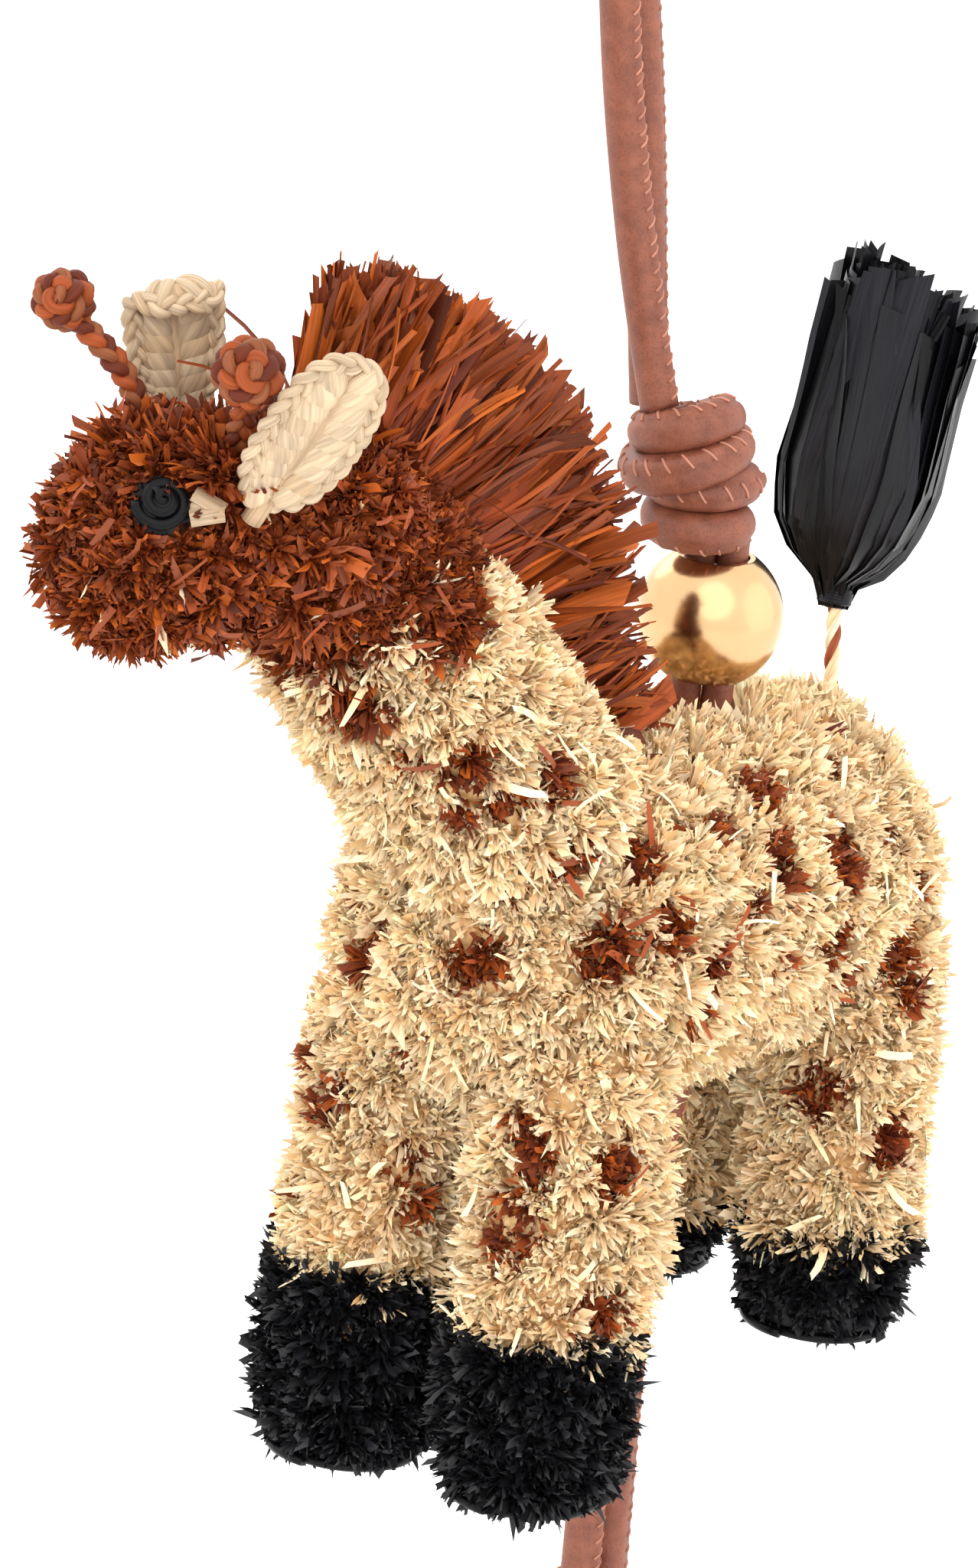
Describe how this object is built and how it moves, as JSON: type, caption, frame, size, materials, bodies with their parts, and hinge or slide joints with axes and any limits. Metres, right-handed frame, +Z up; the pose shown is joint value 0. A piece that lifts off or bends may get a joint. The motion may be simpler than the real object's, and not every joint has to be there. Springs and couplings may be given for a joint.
{
  "type": "giraffe bag charm",
  "caption": "Shaggy cut-raffia giraffe with braided ears and ossicones, a strip mane and a tassel tail, hung on a doubled leather cord with a knot and a round metal bead.",
  "frame": {"origin": "the point of the hanging loop that bears on its peg or hook", "axes": "+Z up, the giraffe faces -X and its left side is towards -Y"},
  "size_m": [0.1643, 0.0653, 0.2508],
  "materials": {
    "natural_raffia": "cut pile of pale natural raffia, matte",
    "brown_raffia": "dyed rust-brown raffia, soft sheen",
    "black_raffia": "dyed black raffia, glossy strips",
    "brown_leather": "soft grained leather with one stitched seam",
    "gold_metal": "polished, gold plated",
    "stuffing": "sewn cotton lining filled with fibre"
  },
  "bodies": {
    "cord": {"cord_core": "brown_leather", "cord_knot": "brown_leather", "cord_loop": "brown_leather", "front_cord_tail": "brown_leather", "front_tail_knot": "brown_leather", "rear_cord_tail": "brown_leather", "rear_tail_knot": "brown_leather", "stopper_knot": "brown_leather"},
    "bead": {"bead": "gold_metal"},
    "tail": {"tail_cord": "natural_raffia", "tail_tassel": "black_raffia", "tassel_binding": "natural_raffia"},
    "left_ear": {"left_ear": "natural_raffia"},
    "right_ear": {"right_ear": "natural_raffia"},
    "left_ossicone": {"left_ossicone_stem": "brown_raffia", "left_ossicone_knob": "brown_raffia"},
    "right_ossicone": {"right_ossicone_stem": "brown_raffia", "right_ossicone_knob": "brown_raffia"},
    "giraffe": {"chin_tuft": "natural_raffia", "front_left_hoof_pile": "black_raffia", "front_left_leg_pile": "natural_raffia", "front_left_leg_stuffing": "stuffing", "front_left_sole": "black_raffia", "front_right_hoof_pile": "black_raffia", "front_right_leg_pile": "natural_raffia", "front_right_leg_stuffing": "stuffing", "front_right_sole": "black_raffia", "head_pile": "brown_raffia", "head_stuffing": "stuffing", "hind_left_hoof_pile": "black_raffia", "hind_left_leg_pile": "natural_raffia", "hind_left_leg_stuffing": "stuffing", "hind_left_sole": "black_raffia", "hind_right_hoof_pile": "black_raffia", "hind_right_leg_pile": "natural_raffia", "hind_right_leg_stuffing": "stuffing", "hind_right_sole": "black_raffia", "left_eye": "black_raffia", "left_eye_corner": "natural_raffia", "mane": "brown_raffia", "mane_band": "brown_raffia", "neck_pile": "natural_raffia", "neck_stuffing": "stuffing", "right_eye": "black_raffia", "right_eye_corner": "natural_raffia", "torso_pile": "natural_raffia", "torso_stuffing": "stuffing"}
  },
  "joints": [
    {"name": "giraffe_turn", "type": "hinge", "parent": "cord", "child": "giraffe", "pos_m": [0.01, -0.0173, -0.135], "axis": [0, 0, 1], "range_deg": [-90, 90]},
    {"name": "bead_spin", "type": "hinge", "parent": "cord", "child": "bead", "pos_m": [0.01, -0.0173, -0.1017], "axis": [0, 0, 1], "continuous": true},
    {"name": "tail_tilt", "type": "hinge", "parent": "giraffe", "child": "tail", "pos_m": [0.0454, -0.0164, -0.1205], "axis": [0, 1, 0], "range_deg": [-15, 105]},
    {"name": "left_ear_flap", "type": "hinge", "parent": "giraffe", "child": "left_ear", "pos_m": [-0.0831, -0.01029, -0.07347], "axis": [0.827, -0.5578, 0.0698], "range_deg": [0, 35]},
    {"name": "right_ear_flap", "type": "hinge", "parent": "giraffe", "child": "right_ear", "pos_m": [-0.07013, 0.00947, -0.06931], "axis": [-0.827, 0.5578, -0.0698], "range_deg": [0, 35]},
    {"name": "left_ossicone_bend", "type": "hinge", "parent": "giraffe", "child": "left_ossicone", "pos_m": [-0.08182, -0.0058, -0.06993], "axis": [-0.5407, -0.8232, -0.1732], "range_deg": [0, 25]},
    {"name": "right_ossicone_bend", "type": "hinge", "parent": "giraffe", "child": "right_ossicone", "pos_m": [-0.07997, 0.00917, -0.06834], "axis": [-0.5407, -0.8232, -0.1732], "range_deg": [-10, 25]}
  ]
}
